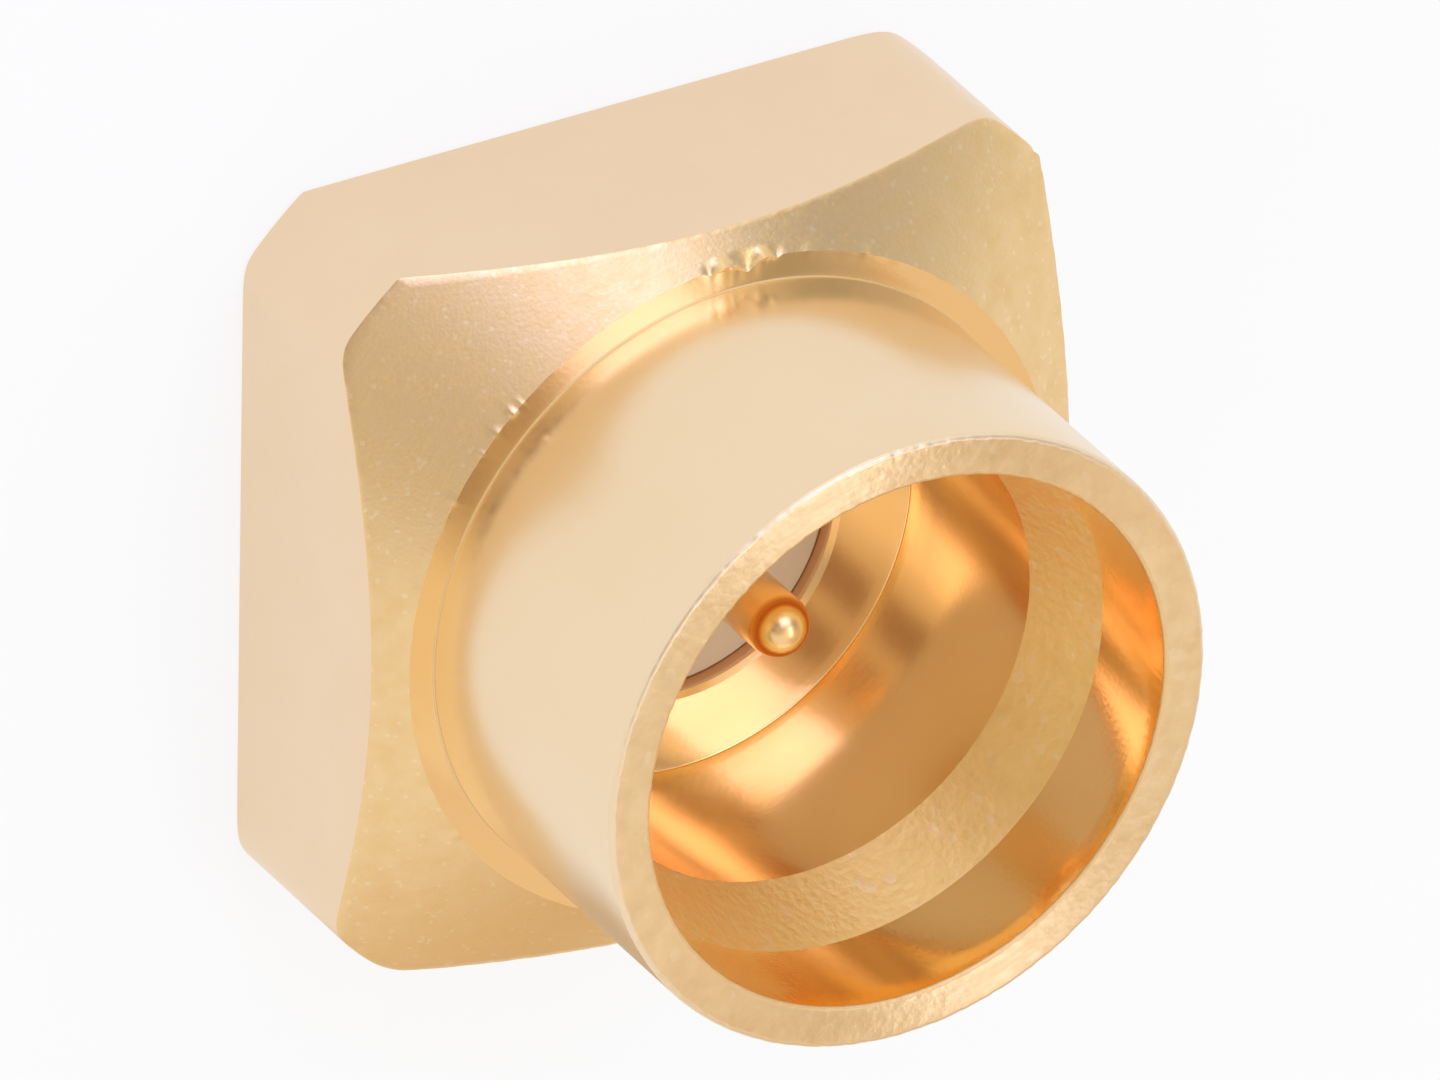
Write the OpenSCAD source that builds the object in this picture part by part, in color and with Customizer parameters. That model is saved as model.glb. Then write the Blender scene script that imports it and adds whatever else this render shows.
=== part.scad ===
// Surface-mount coaxial connector, male shroud with a smooth bore.
// The shell is turned from round bar, milled to a square flange and gold plated. A plastic bead in its
// floor carries the centre contact. The origin is the middle of the board face, with the barrel along +Z.

/* [Flange] */
// Diameter of the round bar, which is left at the corners of the flange
bar_d = 6.04; // [5.4:0.02:6.6]
// Width of the flange across its milled flats
flange_w = 4.64; // [4.5:0.02:5.4]
// Height of the flange at its round corners
corner_h = 1.12; // [0.9:0.02:1.3]
// Slope of the conical front of the flange
cone_angle = 30; // [20:1:35]
// Bevel round the board face
back_break = 0.02; // [0.01:0.01:0.1]

/* [Barrel] */
// Outer diameter of the barrel
barrel_d = 3.93; // [3.85:0.01:4.1]
// Height of the rim above the board face
total_h = 3.64; // [3.4:0.02:4.2]
// Width of the flat step between the cone and the barrel
step_w = 0.165; // [0.1:0.005:0.3]
// Corner radius that the turning tool leaves between that step and the barrel
root_r = 0.01; // [0.01:0.01:0.08]
// Bevel on the outside of the rim
rim_break = 0.03; // [0.01:0.01:0.06]

/* [Mouth and bore] */
// Diameter of the mouth
mouth_d = 3.40; // [3.3:0.01:3.6]
// Depth of the straight part of the mouth
mouth_depth = 0.70; // [0.5:0.02:0.9]
// Bevel on the inside of the rim
lip_break = 0.02; // [0.01:0.01:0.04]
// Diameter of the smooth bore
bore_d = 2.99; // [2.9:0.01:3.2]
// Length of the conical lead-in from the mouth to the bore
lead_in = 0.475; // [0.2:0.025:0.6]
// Height of the gold floor of the bore above the board face
floor_h = 1.12; // [1.0:0.02:1.4]
// Corner radius between the bore and its floor
floor_r = 0.01; // [0.01:0.01:0.08]

/* [Bead] */
// Diameter of the bead
bead_d = 2.0; // [1.8:0.02:2.2]
// Depth of the bead's face below the gold floor
bead_recess = 0.10; // [0.02:0.02:0.2]
// Thickness of the bead in front of the contact's shoulder
bead_web = 0.12; // [0.08:0.02:0.3]
// Bevel round the bead's hole in the gold floor
hole_break = 0.03; // [0.01:0.01:0.06]
// Height of the ridge that locks the bead in the shell
ridge_h = 0.05; // [0.02:0.01:0.1]
// Width of that ridge
ridge_w = 0.25; // [0.1:0.05:0.4]
// Bevel on the bead's edges
bead_break = 0.03; // [0.01:0.01:0.06]
// Gap left in the drawing round the bead, and round the contact in it, where the real fits are tight
fit_gap = 0.005; // [0.002:0.001:0.01]

/* [Contact] */
// Diameter of the pin
pin_d = 0.38; // [0.36:0.01:0.4]
// Depth of the pin's round tip below the rim
tip_depth = 1.30; // [1.1:0.02:1.6]
// Diameter of the contact inside the bead
shank_d = 0.70; // [0.66:0.02:0.8]
// Number of barbs on the shank
barbs = 2; // [1:1:3]
// Length of one barb
barb_l = 0.14; // [0.1:0.02:0.18]
// Height of one barb
barb_h = 0.04; // [0.02:0.01:0.06]
// Bevel on the contact's soldered end and on its shoulder
contact_break = 0.03; // [0.01:0.01:0.06]

/* [Board face] */
// Diameter of the recess round the contact in the board face
relief_d = 2.90; // [2.6:0.05:3.4]
// Depth of that recess
relief_depth = 0.15; // [0.05:0.05:0.25]

/* [Hidden] */
$fn = 128;
bar_r = bar_d / 2;
barrel_r = barrel_d / 2;
mouth_r = mouth_d / 2;
bore_r = bore_d / 2;
bead_r = bead_d / 2;
hole_r = bead_r + fit_gap;
relief_r = relief_d / 2;
pin_r = pin_d / 2;
shank_r = shank_d / 2;
mouth_z = total_h - mouth_depth;
bore_top_z = mouth_z - lead_in;
bead_top_z = floor_h - bead_recess;
shoulder_z = bead_top_z - bead_web;
ridge_z = (relief_depth + bead_top_z - ridge_w) / 2;
barb_z = (relief_depth + shoulder_z - barbs * barb_l) / 2;
tip_z = total_h - tip_depth;
step_r = barrel_r + step_w;
step_z = cone_z(step_r);
gold = "#e8c48a";
bead_white = "#e6e1dc";

// Height of the cone at a distance from the axis
function cone_z(r) = corner_h + (bar_r - r) * tan(cone_angle);

// Half section of the turned outside, with the axis at x = 0
module turned_outside() {
    polygon([
        [0, 0],
        [bar_r - back_break, 0],
        [bar_r, back_break],
        [bar_r, corner_h],
        [step_r, step_z],
        [barrel_r, step_z],
        [barrel_r, total_h - rim_break],
        [barrel_r - rim_break, total_h],
        [0, total_h]
    ]);
    root_corner();
}

// Small radius between the step and the barrel
module root_corner() {
    difference() {
        translate([barrel_r, step_z]) square(root_r);
        translate([barrel_r + root_r, step_z + root_r]) circle(r = root_r);
    }
}

// Half section of everything bored out of the shell
module bored_inside() {
    // mouth, lead-in and bore
    difference() {
        polygon([
            [0, floor_h],
            [bore_r, floor_h],
            [bore_r, bore_top_z],
            [mouth_r, mouth_z],
            [mouth_r, total_h - lip_break],
            [mouth_r + lip_break, total_h],
            [mouth_r + lip_break, total_h + lip_break],
            [0, total_h + lip_break]
        ]);
        floor_corner();
    }
    // hole for the bead, with the groove that takes its ridge
    translate([0, -relief_depth]) square([hole_r, relief_depth + floor_h]);
    ridge_section(fit_gap);
    // bevel of that hole
    polygon([
        [0, floor_h - hole_break],
        [hole_r, floor_h - hole_break],
        [hole_r + hole_break, floor_h],
        [hole_r + hole_break, floor_h + hole_break],
        [0, floor_h + hole_break]
    ]);
    // recess in the board face
    translate([0, -relief_depth]) square([relief_r, 2 * relief_depth]);
}

// Small radius that the boring tool leaves between the bore and its floor
module floor_corner() {
    difference() {
        translate([bore_r - floor_r, floor_h]) square(floor_r);
        translate([bore_r - floor_r, floor_h + floor_r]) circle(r = floor_r);
    }
}

// Half section of the bead's outside
module bead_section() {
    polygon([
        [0, relief_depth],
        [bead_r - bead_break, relief_depth],
        [bead_r, relief_depth + bead_break],
        [bead_r, bead_top_z - bead_break],
        [bead_r - bead_break, bead_top_z],
        [0, bead_top_z]
    ]);
    ridge_section(0);
}

// Half section of the ridge that locks the bead, with a gap outside it and none above or below
module ridge_section(gap) {
    translate([0, ridge_z]) square([bead_r + ridge_h + gap, ridge_w]);
}

// Block that leaves the flats of the flange, bevelled along its lower edges
module milled_square() {
    intersection() {
        milled_pair();
        rotate([0, 0, 90]) milled_pair();
    }
}

// One pair of opposite flats
module milled_pair() {
    half = flange_w / 2;
    rotate([90, 0, 0])
        translate([0, 0, -bar_r])
            linear_extrude(height = bar_d)
                polygon([
                    [-half + back_break, 0],
                    [half - back_break, 0],
                    [half, back_break],
                    [half, total_h],
                    [-half, total_h],
                    [-half, back_break]
                ]);
}

// Half section of the hole through the bead, stepped where the contact's shoulder seats
module bead_hole_section() {
    square([shank_r + fit_gap, shoulder_z]);
    barb_row(fit_gap);
    square([pin_r + fit_gap, floor_h]);
}

// Half section of the contact's shank
module shank_section() {
    polygon([
        [0, 0],
        [shank_r - contact_break, 0],
        [shank_r, contact_break],
        [shank_r, shoulder_z - contact_break],
        [shank_r - contact_break, shoulder_z],
        [0, shoulder_z]
    ]);
    barb_row(0);
}

// Half section of the barbs, which slope towards the bore and bite when the pin is pushed back
module barb_row(gap) {
    for (i = [0 : barbs - 1]) {
        translate([0, barb_z + i * barb_l])
            polygon([
                [0, 0],
                [shank_r + barb_h + gap, 0],
                [shank_r + gap, barb_l],
                [0, barb_l]
            ]);
    }
}

// Half section of the pin, with its round tip
module pin_section() {
    square([pin_r, tip_z - pin_r]);
    intersection() {
        translate([0, tip_z - pin_r]) circle(r = pin_r);
        translate([0, tip_z - pin_r]) square(pin_r);
    }
}

module body() {
    color(gold)
        intersection() {
            rotate_extrude() difference() {
                turned_outside();
                bored_inside();
            }
            milled_square();
        }
}

module dielectric() {
    color(bead_white)
        rotate_extrude() difference() {
            bead_section();
            bead_hole_section();
        }
}

module contact() {
    color(gold)
        rotate_extrude() {
            shank_section();
            pin_section();
        }
}

body();
dielectric();
contact();
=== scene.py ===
# %% [markdown]
# # SMP connector, surface-mount male shroud
# The real object is a coaxial connector less than 5 mm wide. Its shell is turned from round bar, milled to a
# square flange and gold plated. A grey-white plastic bead in its floor carries a gold centre contact.
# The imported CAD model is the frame. Its three nodes are drawn coarsely, because the checks need few
# triangles, so each is replaced here by a fine mesh of the same form, made from the same named sizes.

import math

import bmesh
import bpy
import numpy as np
from mathutils import Matrix, Vector


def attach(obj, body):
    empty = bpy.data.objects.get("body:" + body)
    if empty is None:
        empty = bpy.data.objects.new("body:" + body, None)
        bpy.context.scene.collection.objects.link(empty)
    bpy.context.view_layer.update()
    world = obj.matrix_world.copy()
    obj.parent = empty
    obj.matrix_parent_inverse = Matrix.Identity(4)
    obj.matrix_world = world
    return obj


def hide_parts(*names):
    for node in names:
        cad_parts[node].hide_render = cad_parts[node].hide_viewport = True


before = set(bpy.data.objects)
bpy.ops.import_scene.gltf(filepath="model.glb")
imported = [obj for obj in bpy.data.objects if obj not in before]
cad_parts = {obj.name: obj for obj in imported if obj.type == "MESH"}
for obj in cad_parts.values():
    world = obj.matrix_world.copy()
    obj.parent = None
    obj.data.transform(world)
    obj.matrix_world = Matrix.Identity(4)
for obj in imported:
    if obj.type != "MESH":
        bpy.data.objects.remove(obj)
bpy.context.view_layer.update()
print("CAD nodes:", sorted(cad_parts))

# %% [markdown]
# Every size is in millimetres, as on a workshop drawing, and is the same as in the CAD source. The meshes are
# divided by 1000 at the end, because Blender works in metres. The origin is the middle of the board face,
# and the barrel points along +Z.

# %% Sizes from the drawing
METRES = 0.001

BAR_R = 3.02           # round bar, left at the corners of the flange
FLAT = 2.32            # from the axis to each milled flat
CORNER_H = 1.12        # height of the flange at its round corners
CONE = math.radians(30)
BACK_BREAK = 0.02
BARREL_R = 1.965
TOTAL_H = 3.64
STEP_W = 0.165         # flat step between the cone and the barrel
ROOT_R = 0.01
RIM_BREAK = 0.03
LIP_BREAK = 0.02
MOUTH_R = 1.70
MOUTH_Z = 2.94
BORE_R = 1.495
BORE_TOP_Z = 2.465
FLOOR_Z = 1.12
FLOOR_R = 0.01
HOLE_R = 1.005
HOLE_BREAK = 0.03
RELIEF_R = 1.45
RELIEF_Z = 0.15
RIDGE_H = 0.05
RIDGE_W = 0.25
BEAD_R = 1.0
BEAD_TOP_Z = 1.02
BEAD_BREAK = 0.03
FIT_GAP = 0.005
SHOULDER_Z = 0.90
SHANK_R = 0.35
BARB_L = 0.14
BARB_H = 0.04
BARBS = 2
CONTACT_BREAK = 0.03
PIN_R = 0.19
TIP_Z = 2.34

ridge_z = (RELIEF_Z + BEAD_TOP_Z - RIDGE_W) / 2
barb_z = (RELIEF_Z + SHOULDER_Z - BARBS * BARB_L) / 2


def cone_z(r):
    """Height of the flange's conical front at a distance from the axis."""
    return CORNER_H + (BAR_R - r) * math.tan(CONE)


step_r = BARREL_R + STEP_W
step_z = cone_z(step_r)
print("the cone ends at radius", round(step_r, 3), "and height", round(step_z, 4), "mm")

# %% [markdown]
# The camera comes first, so that everything after it is judged in the photograph's own view. The photograph
# looks into the mouth from above one corner of the flange, with almost no perspective. That is what a long
# lens gives, so the camera stands far off with a lens of 1200 mm. It is turned about its own line of sight,
# because the connector was not upright in the picture. The direction, the turn and the aim were fitted to
# the connector's edges in the photograph.

# %% Camera
SENSOR = 36.0
LENS = 1200.0
TO_CAMERA = Vector((-0.4392, 0.5134, 0.7373)).normalized()
PICTURE_UP = Vector((0.2478, 0.8580, -0.4498))
AIM = Vector((0.535, -0.405, 0.601))   # the point in the middle of the picture
DISTANCE = 276.2                       # from that point to the camera

picture_right = PICTURE_UP.cross(TO_CAMERA).normalized()
picture_up = TO_CAMERA.cross(picture_right).normalized()
camera_data = bpy.data.cameras.new("photo_camera")
camera_data.sensor_width = SENSOR
camera_data.lens = LENS
camera_data.clip_start = 0.01
camera_data.clip_end = 5.0
camera = bpy.data.objects.new("photo_camera", camera_data)
turn = Matrix((picture_right, picture_up, TO_CAMERA)).transposed().to_4x4()
turn.translation = (AIM + TO_CAMERA * DISTANCE) * METRES
camera.matrix_world = turn
bpy.context.scene.collection.objects.link(camera)
bpy.context.scene.camera = camera
print("camera stands", round(turn.translation.length * 1000, 1), "mm from the origin")

# %% [markdown]
# A turned piece is one section swept about the axis. Blender's Screw modifier could do it, but the flange is
# round only at its corners, and the four milled flats cut the section short in between. So the sweep is
# written out: each row of the section gives a radius and a height, either of which may change with the angle,
# and neighbouring rows are joined by four-sided faces. Each strip of rows carries the name of its finish.


# %% Sweep a section about the axis
def sweep(strips, angles, closed):
    """Points of the swept section as rows x columns x 3, and the finish of each band between two rows."""
    rows, finishes = [], []
    for finish, points in strips:
        for r, z in points:
            r, z = np.broadcast_to(r, angles.shape), np.broadcast_to(z, angles.shape)
            rows.append(np.stack([r * np.cos(angles), r * np.sin(angles), z], axis=-1))
            finishes.append(finish)
    if not closed:
        finishes.pop()
    return np.array(rows), finishes


def grid_faces(row_count, column_count, closed):
    """Faces between neighbouring rows and columns, with the columns closed into a circle."""
    i = np.arange(row_count if closed else row_count - 1)
    j = np.arange(column_count)
    a, b = np.meshgrid(i, j, indexing="ij")
    below, right = (a + 1) % row_count, (b + 1) % column_count
    corners = [a, b], [a, right], [below, right], [below, b]
    return np.stack([r * column_count + c for r, c in corners], axis=-1).reshape(-1, 4)


SHARP = math.radians(20)   # an edge that turns by more than this stays crisp
SAME_POINT = 1e-8          # metres, and nearer than this two points are one


def make_piece(name, points, finishes, closed, materials):
    """A mesh object from swept points, with one material for each finish and crisp edges kept sharp."""
    row_count, column_count, _ = points.shape
    mesh = bpy.data.meshes.new(name)
    faces = grid_faces(row_count, column_count, closed)
    mesh.from_pydata((points.reshape(-1, 3) * METRES).tolist(), [], faces.tolist())
    names = list(dict.fromkeys(finishes))
    for finish in names:
        mesh.materials.append(materials[finish])
    index = np.repeat([names.index(f) for f in finishes], column_count)
    mesh.polygons.foreach_set("material_index", index.astype(np.int32))
    piece = bpy.data.objects.new(name, mesh)
    bpy.context.scene.collection.objects.link(piece)
    tidy_mesh(mesh)
    mesh.shade_smooth()
    mesh.set_sharp_from_angle(angle=SHARP)
    print(name, "has", len(mesh.polygons), "faces")
    return piece


def tidy_mesh(mesh):
    """Joins the points that meet on the axis, and turns every face outwards."""
    shape = bmesh.new()
    shape.from_mesh(mesh)
    bmesh.ops.remove_doubles(shape, verts=shape.verts, dist=SAME_POINT)
    bmesh.ops.recalc_face_normals(shape, faces=shape.faces)
    shape.to_mesh(mesh)
    shape.free()


def between(start, end, count):
    """Points on a straight line of the section. The end point is left to the next strip."""
    steps = np.linspace(0, 1, count + 1)[:-1]
    return [(start[0] + (end[0] - start[0]) * t, start[1] + (end[1] - start[1]) * t) for t in steps]


def arc(centre, radius, first_deg, last_deg, count):
    """Points on an arc of the section, without the last."""
    turns = np.radians(np.linspace(first_deg, last_deg, count + 1))[:-1]
    return [(centre[0] + radius * math.cos(t), centre[1] + radius * math.sin(t)) for t in turns]


# %% [markdown]
# Effects that several materials share are shader node groups. Each one makes its own coordinates in
# millimetres from the object's space, so that a grain of 0.03 mm is typed as it would be measured.


# %% Helpers for node trees
def add(tree, kind, inputs=None, **settings):
    """Adds a node, with values or links for its inputs."""
    made = tree.nodes.new(kind)
    for key, value in settings.items():
        setattr(made, key, value)
    for key, value in (inputs or {}).items():
        if isinstance(value, bpy.types.NodeSocket):
            tree.links.new(value, made.inputs[key])
        else:
            made.inputs[key].default_value = value
    return made


def new_group(name, inputs, outputs):
    """A shader node group with named inputs and outputs."""
    tree = bpy.data.node_groups.new(name, "ShaderNodeTree")
    for label, kind, value in inputs:
        socket = tree.interface.new_socket(label, in_out="INPUT", socket_type="NodeSocket" + kind)
        socket.default_value = value
    for label, kind in outputs:
        tree.interface.new_socket(label, in_out="OUTPUT", socket_type="NodeSocket" + kind)
    return tree, tree.nodes.new("NodeGroupInput"), tree.nodes.new("NodeGroupOutput")


def place(tree, group, **inputs):
    """Places a group in a tree. Its inputs are named with spaces for underscores."""
    made = tree.nodes.new("ShaderNodeGroup")
    made.node_tree = group
    for key, value in inputs.items():
        label = key.replace("_", " ")
        if isinstance(value, bpy.types.NodeSocket):
            tree.links.new(value, made.inputs[label])
        else:
            made.inputs[label].default_value = value
    return made


def millimetres(tree):
    """The place on the object, in millimetres."""
    here = add(tree, "ShaderNodeTexCoord").outputs["Object"]
    scaled = add(tree, "ShaderNodeVectorMath", {0: here, "Scale": 1 / METRES}, operation="SCALE")
    return scaled.outputs["Vector"]


def maths(tree, operation, a, b, clamp=False):
    """One arithmetic step."""
    return add(tree, "ShaderNodeMath", {0: a, 1: b}, operation=operation, use_clamp=clamp).outputs[0]


def spread(tree, value, low, high, to_low=0.0, to_high=1.0):
    """Maps a range of values to another, without going past its ends."""
    given = {"Value": value, "From Min": low, "From Max": high, "To Min": to_low, "To Max": to_high}
    return add(tree, "ShaderNodeMapRange", given).outputs["Result"]


def blend(tree, share, first, second, how="MIX"):
    """Mixes two colours: the first where the share is 0, the second where it is 1."""
    mix = add(tree, "ShaderNodeMix", {0: share, 6: first, 7: second}, data_type="RGBA", blend_type=how)
    return mix.outputs[2]


# %% [markdown]
# **Grain.** Where the tool tore the metal instead of cutting it, the plating follows a fine, rough ground.
# Two sizes of noise give its height, and a mask of rare flecks marks the torn bits, where the golds paint a
# glint: a paler gold that stands for the light they catch.

# %% Group: grain
grain_group, given, result = new_group(
    "torn_grain",
    [("Grains per mm", "Float", 30.0), ("Fleck share", "Float", 0.1)],
    [("Height", "Float"), ("Flecks", "Float")],
)
place_mm = millimetres(grain_group)
coarse = add(grain_group, "ShaderNodeTexNoise",
             {"Vector": place_mm, "Scale": given.outputs["Grains per mm"],
              "Detail": 3.0, "Roughness": 0.6})
cells = add(grain_group, "ShaderNodeTexVoronoi",
            {"Vector": place_mm, "Scale": given.outputs["Grains per mm"]}, feature="F1")
cell_share = maths(grain_group, "MULTIPLY", cells.outputs["Distance"], -0.5)
height = maths(grain_group, "ADD", coarse.outputs["Fac"], cell_share)
grain_group.links.new(height, result.inputs["Height"])
odd = add(grain_group, "ShaderNodeSeparateColor", {"Color": cells.outputs["Color"]})
flecks = maths(grain_group, "LESS_THAN", odd.outputs["Red"], given.outputs["Fleck share"])
grain_group.links.new(flecks, result.inputs["Flecks"])
print("group:", grain_group.name)

# %% [markdown]
# **Turning marks.** A lathe tool leaves fine rings. On a face they are spaced along the radius, on a barrel
# or in a bore along the axis. One-dimensional noise gives rings of uneven depth, as a real feed does.

# %% Group: turning marks
rings_group, given, result = new_group(
    "turning_marks",
    [("Rings per mm", "Float", 25.0), ("Along axis", "Float", 1.0), ("Wander", "Float", 0.02)],
    [("Height", "Float")],
)
place_mm = millimetres(rings_group)
parts = add(rings_group, "ShaderNodeSeparateXYZ", {0: place_mm})
flat_place = add(rings_group, "ShaderNodeCombineXYZ", {0: parts.outputs["X"], 1: parts.outputs["Y"]})
radius = add(rings_group, "ShaderNodeVectorMath", {0: flat_place.outputs[0]}, operation="LENGTH")
along = maths(rings_group, "MULTIPLY", parts.outputs["Z"], given.outputs["Along axis"])
across_share = maths(rings_group, "SUBTRACT", 1.0, given.outputs["Along axis"])
across = maths(rings_group, "MULTIPLY", radius.outputs["Value"], across_share)
drift = add(rings_group, "ShaderNodeTexNoise", {"Vector": place_mm, "Scale": 1.5, "Detail": 1.0})
drift_mm = maths(rings_group, "MULTIPLY", drift.outputs["Fac"], given.outputs["Wander"])
ring_place = maths(rings_group, "ADD", maths(rings_group, "ADD", along, across), drift_mm)
ring_noise = add(rings_group, "ShaderNodeTexNoise",
                 {"W": ring_place, "Scale": given.outputs["Rings per mm"], "Detail": 2.0, "Roughness": 0.7},
                 noise_dimensions="1D")
rings_group.links.new(ring_noise.outputs["Fac"], result.inputs["Height"])
print("group:", rings_group.name)

# %% [markdown]
# **Plating tone.** Gold plating is a little redder or paler from place to place. Soft noise mixes two tones.

# %% Group: plating tone
tone_group, given, result = new_group(
    "plating_tone",
    [("Gold", "Color", (0.90, 0.73, 0.50, 1.0)), ("Second gold", "Color", (0.86, 0.67, 0.42, 1.0)),
     ("Patches per mm", "Float", 1.5), ("Amount", "Float", 0.5)],
    [("Color", "Color"), ("Mask", "Float")],
)
place_mm = millimetres(tone_group)
patches = add(tone_group, "ShaderNodeTexNoise",
              {"Vector": place_mm, "Scale": given.outputs["Patches per mm"],
               "Detail": 4.0, "Roughness": 0.55})
mask = spread(tone_group, patches.outputs["Fac"], 0.35, 0.7)
share = maths(tone_group, "MULTIPLY", mask, given.outputs["Amount"])
tone = blend(tone_group, share, given.outputs["Gold"], given.outputs["Second gold"])
tone_group.links.new(tone, result.inputs["Color"])
tone_group.links.new(mask, result.inputs["Mask"])
print("group:", tone_group.name)

# %% [markdown]
# ** The golds.** All of the shell is one plating, but several of its golds are lit or shaded copies of it and carry painted light. The pale golds of the milled faces and the turned barrel are painted highlight, paler where strong light washes the gold out. The golds of the mouth, lead-in, bore and floor are deeper and brighter than the plating is, painted light that lifts the dim bore, and so is the gold of the pin. The golds of the corner at the root and of the pin's tip are painted shade. The finishes differ in how rough they are, how deep their grain and turning marks are, and how far the tone wanders. On the rim and the lead-in the turning marks are too fine to see one by one.
# They smear each highlight across themselves, so those two are anisotropic about the axis. One function makes
# all the golds, and leaves the Principled shader in the material, where the export can read it.
# Each gold is a pair of tones.

# %% Gold finishes
# These two pale golds are painted highlight: paler where strong light washes the gold out.
PALE_PAINTED_HIGHLIGHT = (0.87, 0.675, 0.46, 1.0), (0.84, 0.64, 0.42, 1.0)
BARREL_PAINTED_HIGHLIGHT = (0.89, 0.705, 0.475, 1.0), (0.87, 0.67, 0.43, 1.0)
DEEP = (0.86, 0.61, 0.315, 1.0), (0.82, 0.56, 0.25, 1.0)
ROOT = (0.98, 0.72, 0.38, 1.0), (0.96, 0.69, 0.35, 1.0)
# The mouth, floor, lead-in and bore golds are painted light: deeper and brighter than the plating, to lift
# the dim bore.
MOUTH_PAINTED_LIGHT = (0.985, 0.81, 0.47, 1.0), (0.975, 0.785, 0.43, 1.0)
FLOOR_PAINTED_LIGHT = (0.985, 0.70, 0.46, 1.0), (0.975, 0.67, 0.42, 1.0)
LEAD_IN_PAINTED_LIGHT = (1.0, 0.775, 0.35, 1.0), (0.99, 0.735, 0.29, 1.0)
BORE_PAINTED_LIGHT = (0.985, 0.72, 0.34, 1.0), (0.975, 0.69, 0.30, 1.0)
RIM = (0.96, 0.745, 0.455, 1.0), (0.88, 0.65, 0.36, 1.0)
# The corner gold is painted shade: darker gold in the concave corner at the root, where shade falls.
CORNER_PAINTED_SHADE = (0.83, 0.60, 0.31, 1.0), (0.80, 0.56, 0.27, 1.0)
# The pin's gold is painted light: brighter than its plating, to lift it in the dim bore.
PIN_PAINTED_LIGHT = (0.99, 0.77, 0.47, 1.0), (0.98, 0.73, 0.40, 1.0)
# The pin's tip gold is painted shade: darker and redder, for the dark bore that the ball mirrors.
TIP_PAINTED_SHADE = (0.93, 0.61, 0.28, 1.0), (0.90, 0.57, 0.24, 1.0)
# The fleck gold is a painted glint, paler where the torn bits catch the light.
FLECK_PAINTED_GLINT = (1.0, 0.88, 0.66, 1.0)
MICRON = 1e-6
ACROSS = 0.25   # a quarter turn, which smears a highlight across the grooves and not along them


def gold(name, golds, rough, rough_more, grain_um, grains=30.0, rings_um=0.0, rings=25.0, along=1.0,
         tone=0.4, patches=1.5, flecks=0.0, fleck_light=0.6, grooved=0.0):
    """A gold-plated finish. Depths are in micrometres, and grains and rings are counted per millimetre."""
    material = bpy.data.materials.new(name)
    material.use_nodes = True
    tree = material.node_tree
    shader = tree.nodes["Principled BSDF"]
    shader.inputs["Metallic"].default_value = 1.0
    colour = place(tree, tone_group, Gold=golds[0], Second_gold=golds[1], Patches_per_mm=patches, Amount=tone)
    torn = place(tree, grain_group, Grains_per_mm=grains, Fleck_share=flecks)
    fleck_share = maths(tree, "MULTIPLY", torn.outputs["Flecks"], fleck_light)
    flecked = blend(tree, fleck_share, colour.outputs["Color"], FLECK_PAINTED_GLINT)
    tree.links.new(flecked, shader.inputs["Base Color"])
    if grooved:
        shader.inputs["Anisotropic"].default_value = grooved
        shader.inputs["Anisotropic Rotation"].default_value = ACROSS
        round_axis = add(tree, "ShaderNodeTangent", direction_type="RADIAL", axis="Z")
        tree.links.new(round_axis.outputs["Tangent"], shader.inputs["Tangent"])
    marks = place(tree, rings_group, Rings_per_mm=rings, Along_axis=along)
    rough_mask = maths(tree, "MULTIPLY", torn.outputs["Height"], colour.outputs["Mask"])
    rough_here = spread(tree, rough_mask, 0.0, 0.5, rough, rough + rough_more)
    tree.links.new(rough_here, shader.inputs["Roughness"])
    grain_bump = add(tree, "ShaderNodeBump",
                     {"Strength": 1.0, "Distance": grain_um * MICRON, "Height": torn.outputs["Height"]})
    ring_bump = add(tree, "ShaderNodeBump",
                    {"Strength": 1.0, "Distance": rings_um * MICRON, "Height": marks.outputs["Height"],
                     "Normal": grain_bump.outputs["Normal"]})
    tree.links.new(ring_bump.outputs["Normal"], shader.inputs["Normal"])
    return material


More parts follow.
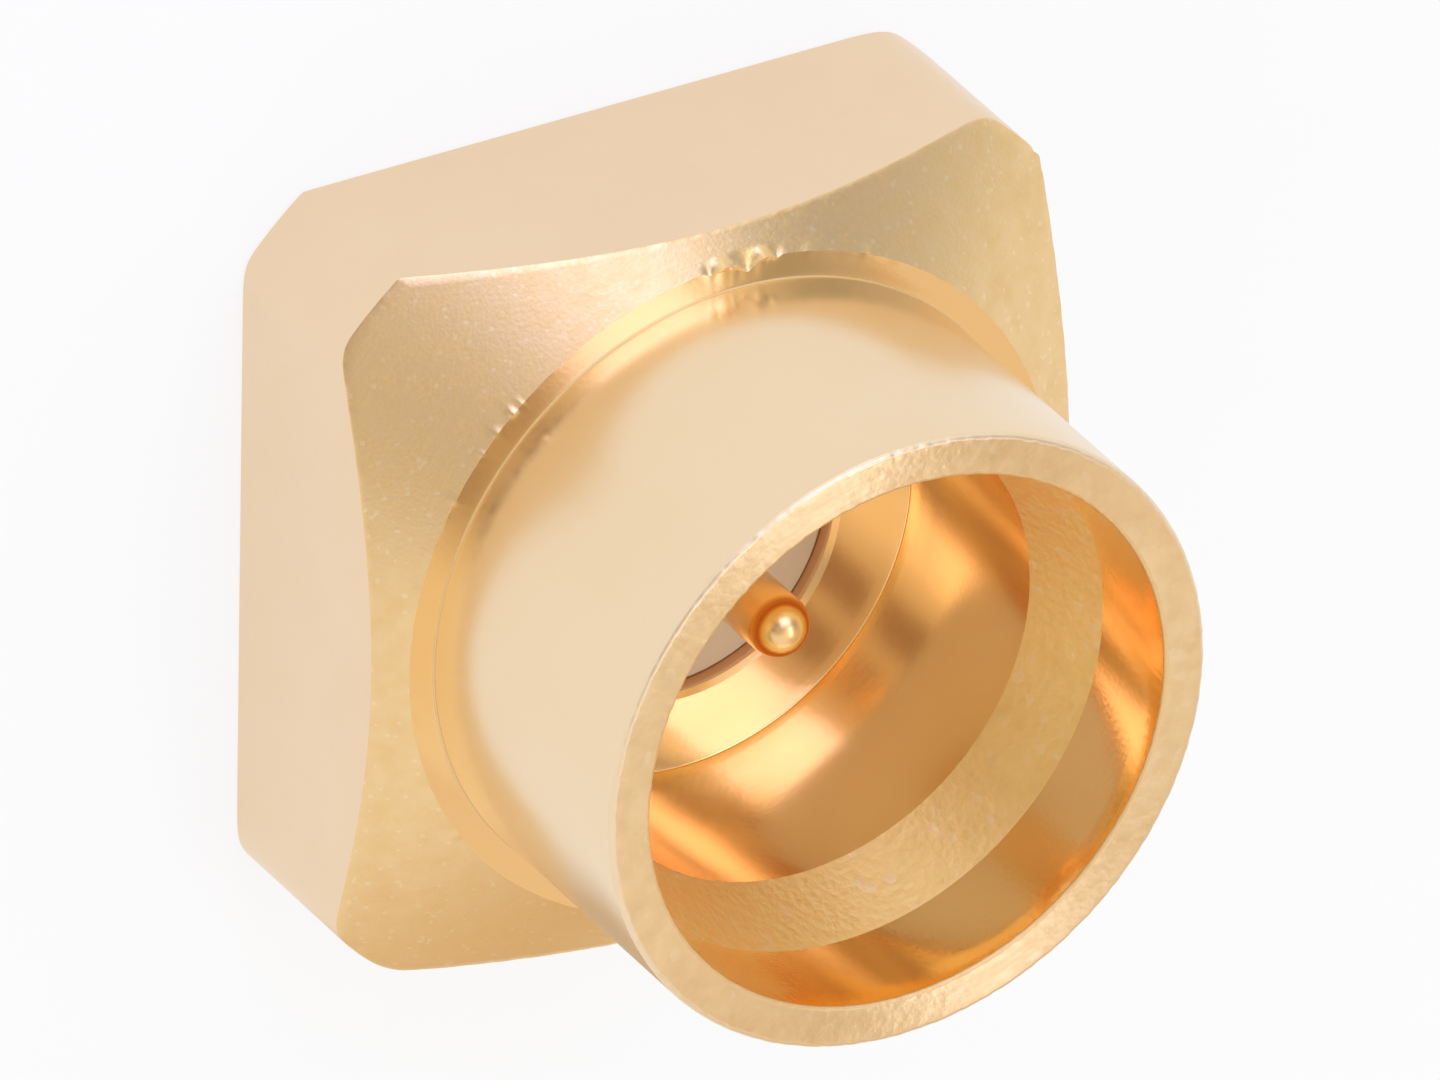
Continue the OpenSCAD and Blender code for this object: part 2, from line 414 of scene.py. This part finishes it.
finish = {
    "milled": gold("gold_milled", PALE_PAINTED_HIGHLIGHT, rough=0.28, rough_more=0.10, grain_um=0.4, grains=18.0,
                   rings_um=0.5, rings=16.0, tone=0.35),
    "cone": gold("gold_turned_cone", DEEP, rough=0.28, rough_more=0.12, grain_um=0.7, grains=40.0,
                 rings_um=0.5, rings=22.0, along=0.0, tone=0.8, patches=7.0, flecks=0.03, fleck_light=0.2),
    "root": gold("gold_root", ROOT, rough=0.15, rough_more=0.05, grain_um=0.4, rings_um=0.2, along=0.0,
                 tone=0.5),
    "corner": gold("gold_corner", CORNER_PAINTED_SHADE, rough=0.40, rough_more=0.10, grain_um=0.3, tone=0.5),
    "barrel": gold("gold_barrel", BARREL_PAINTED_HIGHLIGHT, rough=0.22, rough_more=0.04, grain_um=0.1, rings_um=0.15, tone=0.3),
    "rim": gold("gold_rim", RIM, rough=0.35, rough_more=0.10, grain_um=2.6, grains=15.0, rings_um=1.6,
                rings=30.0, along=0.0, tone=0.9, patches=6.0, flecks=0.04, fleck_light=0.2, grooved=0.9),
    "rim_edge": gold("gold_rim_edge", BARREL_PAINTED_HIGHLIGHT, rough=0.34, rough_more=0.10, grain_um=0.6, tone=0.6,
                     patches=5.0),
    "lip_edge": gold("gold_lip_edge", DEEP, rough=0.50, rough_more=0.10, grain_um=0.6, tone=0.6, patches=5.0),
    "mouth": gold("gold_mouth", MOUTH_PAINTED_LIGHT, rough=0.13, rough_more=0.05, grain_um=0.3, rings_um=0.2, tone=0.5),
    "lead_in": gold("gold_lead_in", LEAD_IN_PAINTED_LIGHT, rough=0.46, rough_more=0.14, grain_um=4.0, grains=18.0,
                    tone=0.9, patches=6.0, flecks=0.05, fleck_light=0.3, grooved=0.8),
    "bore": gold("gold_bore", BORE_PAINTED_LIGHT, rough=0.15, rough_more=0.05, grain_um=0.2, rings_um=0.1, tone=0.5),
    "floor": gold("gold_floor", FLOOR_PAINTED_LIGHT, rough=0.13, rough_more=0.05, grain_um=0.2, rings_um=0.2, along=0.0,
                  tone=0.5),
    "board_face": gold("gold_board_face", PALE_PAINTED_HIGHLIGHT, rough=0.34, rough_more=0.08, grain_um=1.0, rings_um=1.2,
                       rings=14.0, along=0.0, tone=0.4),
    "pin": gold("gold_pin", PIN_PAINTED_LIGHT, rough=0.24, rough_more=0.03, grain_um=0.05, rings_um=0.1, tone=0.4),
    "pin_tip": gold("gold_pin_tip", TIP_PAINTED_SHADE, rough=0.22, rough_more=0.03, grain_um=0.05, rings_um=0.1, tone=0.4),
}
print("gold finishes:", ", ".join(finish))

# %% [markdown]
# **Bead.** The bead is a waxy, slightly translucent plastic, turned and then cut off, so its face has faint
# rings. It isn't metal, so light goes a little way into it.

# %% Bead plastic
# The bead's plastic is grey-white. These warm tones are painted light: the gold light that the bore throws on
# the bead.
BEAD_PAINTED_GOLD_LIGHT = (0.90, 0.74, 0.51, 1.0), (0.85, 0.68, 0.45, 1.0)
LIGHT_DEPTH = (0.0002, 0.00018, 0.00016)   # metres that red, green and blue go in
FACE_MARKS = 1.5                           # depth of the cutting marks in micrometres

bead_plastic = bpy.data.materials.new("bead_plastic")
bead_plastic.use_nodes = True
tree = bead_plastic.node_tree
shader = tree.nodes["Principled BSDF"]
shader.inputs["Subsurface Weight"].default_value = 0.25
shader.inputs["Subsurface Radius"].default_value = LIGHT_DEPTH
shader.inputs["Subsurface Scale"].default_value = 1.0
colour = place(tree, tone_group, Gold=BEAD_PAINTED_GOLD_LIGHT[0], Second_gold=BEAD_PAINTED_GOLD_LIGHT[1], Patches_per_mm=3.0,
               Amount=0.6)
tree.links.new(colour.outputs["Color"], shader.inputs["Base Color"])
marks = place(tree, rings_group, Rings_per_mm=16.0, Along_axis=0.0)
tree.links.new(spread(tree, marks.outputs["Height"], 0.0, 1.0, 0.38, 0.52), shader.inputs["Roughness"])
bump = add(tree, "ShaderNodeBump",
           {"Strength": 1.0, "Distance": FACE_MARKS * MICRON, "Height": marks.outputs["Height"]})
tree.links.new(bump.outputs["Normal"], shader.inputs["Normal"])
finish["bead"] = bead_plastic

# %% [markdown]
# **Shell outline.** Seen along the axis, the flange is a square whose corners are the round bar. The radius
# at each angle is therefore the bar's or the distance to a flat, whichever is less. A soft minimum rounds the
# edge between the two by a few hundredths of a millimetre, as deburring does. The real edges were not all
# deburred alike: some are crisp and some are soft, so each of the eight has its own value.

# %% Outline of the flange
EDGE_SOFT = {   # where each edge is in degrees, and how far it is rounded in millimetres
    39.8: 0.005, 50.2: 0.045, 129.8: 0.008, 140.2: 0.035,
    219.8: 0.040, 230.2: 0.045, 309.8: 0.030, 320.2: 0.030,
}
SHELL_COLUMNS = 900
CROWDED = [(89, 7, 3.0), (136, 9, 2.0), (39.8, 2.5, 3.0), (129.8, 2.0, 2.0)]   # torn bits and crisp edges


def crowded(count, places):
    """Angles round the axis, closer together at some places: middle, half width and how much more."""
    fine = np.linspace(0, 360, 7201)   # every twentieth of a degree
    weight = np.ones_like(fine)
    for middle, width, more in places:
        weight += more * np.exp(-(((fine - middle) / width) ** 4))
    total = np.concatenate([[0], np.cumsum((weight[1:] + weight[:-1]) / 2)])
    return np.radians(np.interp(np.arange(count) / count * total[-1], total, fine))


def outline(bar_radius, flat_distance, angles):
    """Radius of a milled bar at each angle."""
    to_flat = flat_distance / np.maximum(np.abs(np.cos(angles)), np.abs(np.sin(angles)))
    soft = np.interp(np.degrees(angles), list(EDGE_SOFT), list(EDGE_SOFT.values()), period=360)
    least = np.minimum(to_flat, bar_radius)
    return least - soft * np.log1p(np.exp(-np.abs(to_flat - bar_radius) / soft))


shell_angles = crowded(SHELL_COLUMNS, CROWDED)
limit = outline(BAR_R, FLAT, shell_angles)
limit_low = outline(BAR_R - BACK_BREAK, FLAT - BACK_BREAK, shell_angles)
print("flange outline from", round(limit.min(), 3), "to", round(limit.max(), 3), "mm")

# %% [markdown]
# ** Torn edges.** The edges of the real part are not clean lines. The rim's edges waver by a few thousandths of a millimetre, the flange's front edge has a break of uneven width, and torn bits of metal stand along the end of the cone, most of them where a flat comes close to it. Wavering edges are smooth seeded noise round the axis. The torn bits are listed one by one: angle and half width in degrees, height and shift outwards in millimetres.

# %% Torn edges
CREASE_WAVER = 0.0025
RIM_WAVER = 0.004
BREAK_WAVER = 0.35     # as a share of the flange's front break

rng = np.random.default_rng(7)


def waver(angles, waves, size):
    """Smooth seeded noise round the axis. Each wave is given by how many of it fit in one turn."""
    total = np.zeros_like(angles)
    for wave in waves:
        total += rng.normal() * np.cos(wave * angles + rng.uniform(0, 2 * math.pi)) / len(waves) ** 0.5
    return size * np.tanh(total)


def bits(angles, rows):
    """Height and outward shift of torn bits at each angle."""
    height, shift = np.zeros_like(angles), np.zeros_like(angles)
    for middle, half, up, out in rows:
        shape = np.exp(-(((np.degrees(angles) - middle) / half) ** 2))
        height += up * shape
        shift += out * shape
    return height, shift


BURRS = [
    (66.5, 0.8, 0.005, 0.004), (77.0, 0.9, 0.004, 0.004), (82.9, 0.9, 0.005, -0.020),
    (85.4, 1.2, 0.024, 0.014), (88.2, 1.7, 0.010, -0.070), (90.6, 0.7, 0.014, -0.014),
    (92.4, 1.5, 0.032, 0.014), (94.9, 0.8, 0.006, -0.020), (131.4, 0.5, 0.003, 0.003),
    (133.4, 0.7, 0.008, 0.006), (137.3, 0.9, 0.006, 0.005), (141.2, 0.6, 0.004, 0.003),
    (149.6, 0.6, 0.003, 0.003), (213.0, 0.6, 0.003, 0.003),
]
burr_z, burr_r = bits(shell_angles, BURRS)
crease_waver = waver(shell_angles, range(17, 80, 7), CREASE_WAVER)
rim_out = RIM_WAVER + waver(shell_angles, range(31, 180, 13), RIM_WAVER)
rim_in = RIM_WAVER + waver(shell_angles, range(31, 180, 13), RIM_WAVER)
edge_waver = waver(shell_angles, range(50, 150, 9), BREAK_WAVER)
print("highest torn bit", round(burr_z.max(), 3), "mm")

# %% [markdown]
# **Shell section.** The section runs once round the metal: over the board face, up the flats, across the
# cone, over the flat step at the root, up the barrel, over the rim, down the mouth and the bore, over the
# gold floor and down the bead's hole. The front edge of the flange gets a small round of its own, with one
# nick at a corner. The round's middle row lies a quarter of its width inside the sharp corner, almost as on
# a true arc. Rows close to the crease, where the cone ends, keep its torn bits narrow.

# %% Section of the shell
FRONT_BREAK = 0.016                       # width of the small round along the front edge
MIDDLE = 0.25                             # where its middle row lies, as a share of that width
NICK = (39.9, 0.9, 0.05, 0.0)             # in the same form as a torn bit
FAR, NEAR, INNER = 0.060, 0.018, 0.030    # distances of three rows from the crease

edge = FRONT_BREAK * (1 + edge_waver)
nick = bits(shell_angles, [NICK])[0]
edge_z = cone_z(limit)
cone_start = (limit - edge * math.cos(CONE), edge_z + edge * math.sin(CONE))
side_top = (limit - 0.3 * nick, edge_z - edge - 0.5 * nick)
edge_middle = (limit - MIDDLE * edge * math.cos(CONE) - 0.6 * nick,
               edge_z - MIDDLE * edge * (1 - math.sin(CONE)) - 0.3 * nick)
crease = (step_r + crease_waver + burr_r, step_z - math.tan(CONE) * crease_waver + burr_z)
far_crease = (step_r + FAR + crease_waver, cone_z(step_r + FAR + crease_waver))
near_crease = (step_r + NEAR + crease_waver + burr_r, cone_z(step_r + NEAR + crease_waver) + 0.5 * burr_z)
inside_crease = (step_r - INNER + 0.5 * burr_r, step_z + 0.25 * burr_z)
out_r = RIM_BREAK + rim_out
in_r = LIP_BREAK + rim_in
rim_out_arc = arc((BARREL_R - out_r, TOTAL_H - out_r), out_r, 0, 90, 6)
rim_in_arc = arc((MOUTH_R + in_r, TOTAL_H - in_r), in_r, 90, 180, 5)
root_low = (BARREL_R + ROOT_R, step_z)

shell_strips = [
    ("board_face", between((RELIEF_R, 0), (limit_low, 0), 3)),
    ("milled", [(limit_low, 0)]),
    ("milled", between((limit, BACK_BREAK), side_top, 5)),
    ("milled", [side_top]),
    ("cone", [edge_middle]),
    ("cone", between(cone_start, far_crease, 12)),
    ("cone", between(far_crease, near_crease, 3)),
    ("cone", between(near_crease, crease, 2)),
    ("root", between(crease, inside_crease, 3)),
    ("root", between(inside_crease, root_low, 4)),
    ("corner", arc((BARREL_R + ROOT_R, step_z + ROOT_R), ROOT_R, 270, 180, 6)),
    ("barrel", between((BARREL_R, step_z + ROOT_R), (BARREL_R, TOTAL_H - out_r), 8)),
    ("rim_edge", rim_out_arc),
    ("rim", between((BARREL_R - out_r, TOTAL_H), (MOUTH_R + in_r, TOTAL_H), 5)),
    ("lip_edge", rim_in_arc),
    ("mouth", between((MOUTH_R, TOTAL_H - in_r), (MOUTH_R, MOUTH_Z), 4)),
    ("lead_in", between((MOUTH_R, MOUTH_Z), (BORE_R, BORE_TOP_Z), 6)),
    ("bore", between((BORE_R, BORE_TOP_Z), (BORE_R, FLOOR_Z + FLOOR_R), 5)),
    ("bore", arc((BORE_R - FLOOR_R, FLOOR_Z + FLOOR_R), FLOOR_R, 0, -90, 6)),
    ("floor", between((BORE_R - FLOOR_R, FLOOR_Z), (HOLE_R + HOLE_BREAK, FLOOR_Z), 5)),
    ("floor", [(HOLE_R + HOLE_BREAK, FLOOR_Z)]),
    ("floor", between((HOLE_R, FLOOR_Z - HOLE_BREAK), (HOLE_R, ridge_z + RIDGE_W), 3)),
    ("floor", [(HOLE_R, ridge_z + RIDGE_W)]),
    ("floor", [(HOLE_R + RIDGE_H, ridge_z + RIDGE_W), (HOLE_R + RIDGE_H, ridge_z)]),
    ("floor", between((HOLE_R, ridge_z), (HOLE_R, RELIEF_Z), 2)),
    ("board_face", between((HOLE_R, RELIEF_Z), (RELIEF_R, RELIEF_Z), 3)),
    ("board_face", [(RELIEF_R, RELIEF_Z)]),
]
shell_points, shell_finishes = sweep(shell_strips, shell_angles, closed=True)
shell = make_piece("shell", shell_points, shell_finishes, True, finish)
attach(shell, "root")
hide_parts("body")

# %% [markdown]
# ** Bead and contact.** Both are plain turned pieces. The bead's hole is stepped for the contact's shoulder, and the contact's shank has barbs that bite in it. Only the bead's face and the pin show, but the hidden forms are the real ones.


# %% Bead and contact
BEAD_COLUMNS = 160
CONTACT_COLUMNS = 96


def barb_points(gap):
    """Section of the barbs, from the lowest to the highest."""
    points = []
    for i in range(BARBS):
        low = barb_z + i * BARB_L
        points += [(SHANK_R + gap, low), (SHANK_R + BARB_H + gap, low)]
    return points + [(SHANK_R + gap, barb_z + BARBS * BARB_L)]


bead_strips = [
    ("bead", between((SHANK_R + FIT_GAP, RELIEF_Z), (BEAD_R - BEAD_BREAK, RELIEF_Z), 3)),
    ("bead", [(BEAD_R - BEAD_BREAK, RELIEF_Z), (BEAD_R, RELIEF_Z + BEAD_BREAK), (BEAD_R, ridge_z)]),
    ("bead", [(BEAD_R + RIDGE_H, ridge_z), (BEAD_R + RIDGE_H, ridge_z + RIDGE_W)]),
    ("bead", [(BEAD_R, ridge_z + RIDGE_W)]),
    ("bead", [(BEAD_R, BEAD_TOP_Z - BEAD_BREAK)]),
    ("bead", between((BEAD_R - BEAD_BREAK, BEAD_TOP_Z), (PIN_R + FIT_GAP, BEAD_TOP_Z), 8)),
    ("bead", [(PIN_R + FIT_GAP, BEAD_TOP_Z), (PIN_R + FIT_GAP, SHOULDER_Z)]),
    ("bead", [(SHANK_R + FIT_GAP, SHOULDER_Z)]),
    ("bead", barb_points(FIT_GAP)[::-1]),
]
bead_angles = np.linspace(0, 2 * math.pi, BEAD_COLUMNS, endpoint=False)
bead_points, bead_finishes = sweep(bead_strips, bead_angles, closed=True)
bead = make_piece("bead", bead_points, bead_finishes, True, finish)
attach(bead, "root")
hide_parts("dielectric")

contact_strips = [
    ("pin", between((0, 0), (SHANK_R - CONTACT_BREAK, 0), 2)),
    ("pin", [(SHANK_R - CONTACT_BREAK, 0), (SHANK_R, CONTACT_BREAK)]),
    ("pin", barb_points(0)),
    ("pin", [(SHANK_R, SHOULDER_Z - CONTACT_BREAK), (SHANK_R - CONTACT_BREAK, SHOULDER_Z)]),
    ("pin", between((PIN_R, SHOULDER_Z), (PIN_R, TIP_Z - PIN_R), 6)),
    ("pin_tip", arc((0, TIP_Z - PIN_R), PIN_R, 0, 90, 16)),
    ("pin_tip", [(0, TIP_Z)]),
]
contact_angles = np.linspace(0, 2 * math.pi, CONTACT_COLUMNS, endpoint=False)
contact_points, contact_finishes = sweep(contact_strips, contact_angles, closed=False)
contact = make_piece("centre_contact", contact_points, contact_finishes, False, finish)
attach(contact, "root")
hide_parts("contact")

# %% [markdown]
# ** Stage.** The photograph shows the connector on pure white. The floor is a plain pale disc. Where the camera or a glossy ray meets it, most of it shines white by itself and the rest is lit, so that the connector's shadow stays. On one side the barrel's foot mirrors the table beside it, where the gold throws a warm shade. That shade is painted: a soft golden patch of the floor's colour, which only glossy rays meet. The floor has no underside, so a view from below sees the board face.

# %% Floor
DISC_R = 120.0                       # millimetres
DISC_GAP = 0.01                      # millimetres below the board face
WHITE_SHARE = 0.8                    # the part of the floor that shines by itself
WHITE = (1.0, 1.0, 1.0, 1.0)
# GOLD_SHADE is painted shade: the warm patch on the floor that only glossy rays meet.
GOLD_SHADE = (0.58, 0.39, 0.19, 1.0)
SHADE_MIDDLE = (-0.8, -4.4, 0.0)     # millimetres
SHADE_FULL, SHADE_NONE = 0.9, 2.3    # millimetres from its middle

floor_material = bpy.data.materials.new("pale_floor")
floor_material.use_nodes = True
tree = floor_material.node_tree
shader = tree.nodes["Principled BSDF"]
output = tree.nodes["Material Output"]
fine = add(tree, "ShaderNodeTexNoise", {"Vector": millimetres(tree), "Scale": 2.0, "Detail": 2.0})
paper = blend(tree, fine.outputs["Fac"], (0.93, 0.93, 0.93, 1.0), (0.90, 0.90, 0.90, 1.0))
tree.links.new(paper, shader.inputs["Base Color"])
shader.inputs["Roughness"].default_value = 0.8
shader.inputs["Specular IOR Level"].default_value = 0.0
path = add(tree, "ShaderNodeLightPath")
away = add(tree, "ShaderNodeVectorMath", {0: millimetres(tree), 1: SHADE_MIDDLE}, operation="DISTANCE")
near = spread(tree, away.outputs["Value"], SHADE_FULL, SHADE_NONE, 1.0, 0.0)
shade = maths(tree, "MULTIPLY", near, path.outputs["Is Glossy Ray"])
white = add(tree, "ShaderNodeEmission", {"Color": blend(tree, shade, WHITE, GOLD_SHADE), "Strength": 1.0})
seen = maths(tree, "ADD", path.outputs["Is Camera Ray"], path.outputs["Is Glossy Ray"])
seen = maths(tree, "ADD", seen, path.outputs["Is Transmission Ray"], clamp=True)
mixed = add(tree, "ShaderNodeMixShader",
            {0: maths(tree, "MULTIPLY", seen, WHITE_SHARE), 1: shader.outputs["BSDF"],
             2: white.outputs["Emission"]})
hole = add(tree, "ShaderNodeBsdfTransparent")
side = add(tree, "ShaderNodeNewGeometry")
one_sided = add(tree, "ShaderNodeMixShader",
                {0: side.outputs["Backfacing"], 1: mixed.outputs["Shader"], 2: hole.outputs["BSDF"]})
tree.links.new(one_sided.outputs["Shader"], output.inputs["Surface"])

bpy.ops.mesh.primitive_circle_add(vertices=96, radius=DISC_R * METRES, fill_type="NGON",
                                  location=(0, 0, -DISC_GAP * METRES))
floor = bpy.context.object
floor.name = "floor"
floor.data.materials.append(floor_material)

# %% [markdown]
# **Light.** The connector was photographed in a white light tent, so its gold shows the white nearly
# everywhere. Where it shows darker, it mirrors a darker part of the tent: the opening that the camera looks
# through, with the camera and its holder in it, the side turned from the lamp, a fold in the cloth, and the
# warm shade on the table. The cloth nearest the lamp is brighter. The world is that tent, with each of those
# parts as a soft zone round a direction. A zone is given by its direction in the picture (right, up, towards
# the camera), the angles in degrees where it is full and where it ends, and its share of the tent's light.
# Two soft lamps do the rest. The large one lights the cone and the floor of the bore. The narrow one gives
# the rim its two bright fans and the pin its highlight. Both are bluer than the tent, because gold takes the
# blue out of what it mirrors.

# %% World: a white tent
world = bpy.data.worlds.new("white_tent")
bpy.context.scene.world = world
world.use_nodes = True
tree = world.node_tree
background = tree.nodes["Background"]
direction = add(tree, "ShaderNodeTexCoord").outputs["Generated"]


def in_picture(right, up, towards):
    """A direction given as it lies in the picture."""
    return (picture_right * right + picture_up * up + TO_CAMERA * towards).normalized()


def zone_mask(middle, full_deg, none_deg):
    """How far each direction lies in a zone, from 0 outside to 1 inside."""
    facing = add(tree, "ShaderNodeVectorMath", {0: direction, 1: middle}, operation="DOT_PRODUCT")
    ends = math.cos(math.radians(none_deg)), math.cos(math.radians(full_deg))
    return spread(tree, facing.outputs["Value"], *ends)


ZONES = [
    ((0.057, -0.228, 0.972), 19, 31, (0.63, 0.58, 0.54)),   # the tent's opening
    ((-0.04, -0.04, 1.00), 4, 9, (0.53, 0.41, 0.39)),       # the camera in it
    ((-0.19, -0.34, 0.92), 4, 9, (0.53, 0.41, 0.39)),       # its holder
    ((0.953, 0.02, 0.303), 15, 27, (0.60, 0.61, 0.66)),     # the side turned from the lamp
    ((0.35, -0.70, -0.62), 15, 42, (0.75, 0.57, 0.38)),     # warm shade at the table's far edge
    ((0.80, -0.58, 0.10), 11, 27, (0.84, 0.69, 0.54)),      # warm shade under the barrel
    ((0.90, 0.03, 0.43), 5, 15, (0.72, 0.72, 0.72)),        # a dark fold in the cloth
    ((-0.05, 0.94, 0.34), 15, 29, (1.80, 1.90, 2.10)),      # the cloth nearest the lamp
]
tent = WHITE
for middle, full_deg, none_deg, share in ZONES:
    mask = zone_mask(in_picture(*middle), full_deg, none_deg)
    tent = blend(tree, mask, tent, (*share, 1.0), how="MULTIPLY")
path = add(tree, "ShaderNodeLightPath")
seen = maths(tree, "ADD", path.outputs["Is Camera Ray"], path.outputs["Is Transmission Ray"], clamp=True)
tree.links.new(blend(tree, seen, tent, WHITE), background.inputs["Color"])
background.inputs["Strength"].default_value = 1.0
print("parts of the tent with a light of their own:", len(ZONES))


# %% Soft lamps
LAMP_DISTANCE = 200.0   # millimetres


def soft_lamp(name, towards, roll_deg, width_deg, height_deg, radiance, colour):
    """An area lamp that faces the connector, given as it looks from there: its size, turn and brightness."""
    data = bpy.data.lights.new(name, "AREA")
    data.shape = "RECTANGLE"
    data.size = 2 * LAMP_DISTANCE * METRES * math.tan(math.radians(width_deg / 2))
    data.size_y = 2 * LAMP_DISTANCE * METRES * math.tan(math.radians(height_deg / 2))
    data.energy = radiance * math.pi * data.size * data.size_y
    data.color = colour
    lamp = bpy.data.objects.new(name, data)
    across = (picture_right - towards * picture_right.dot(towards)).normalized()
    upward = towards.cross(across)
    turn = math.radians(roll_deg)
    side = across * math.cos(turn) + upward * math.sin(turn)
    pose = Matrix((side, towards.cross(side), towards)).transposed().to_4x4()
    pose.translation = towards * LAMP_DISTANCE * METRES
    lamp.matrix_world = pose
    bpy.context.scene.collection.objects.link(lamp)
    return lamp


key_lamp = soft_lamp("key_lamp", in_picture(0.438, 0.192, 0.878), roll_deg=26, width_deg=33, height_deg=34,
                     radiance=2.05, colour=(0.43, 0.463, 1.0))
strip_lamp = soft_lamp("strip_lamp", in_picture(0.74, -0.40, 0.54), roll_deg=0, width_deg=9, height_deg=34,
                       radiance=2.4, colour=(0.87, 0.89, 1.0))
for lamp in (key_lamp, strip_lamp):
    print(lamp.name, "is", round(1000 * lamp.data.size), "x", round(1000 * lamp.data.size_y), "mm")

# %% [markdown]
# ** Render settings.** In the bore one gold wall mirrors the other, again and again. Blender stops after four mirrorings and shows black for the rest, so twelve are allowed here.

# %% Render settings
MIRRORINGS = 12

bpy.context.scene.view_settings.view_transform = "Standard"
bpy.context.scene.cycles.glossy_bounces = MIRRORINGS
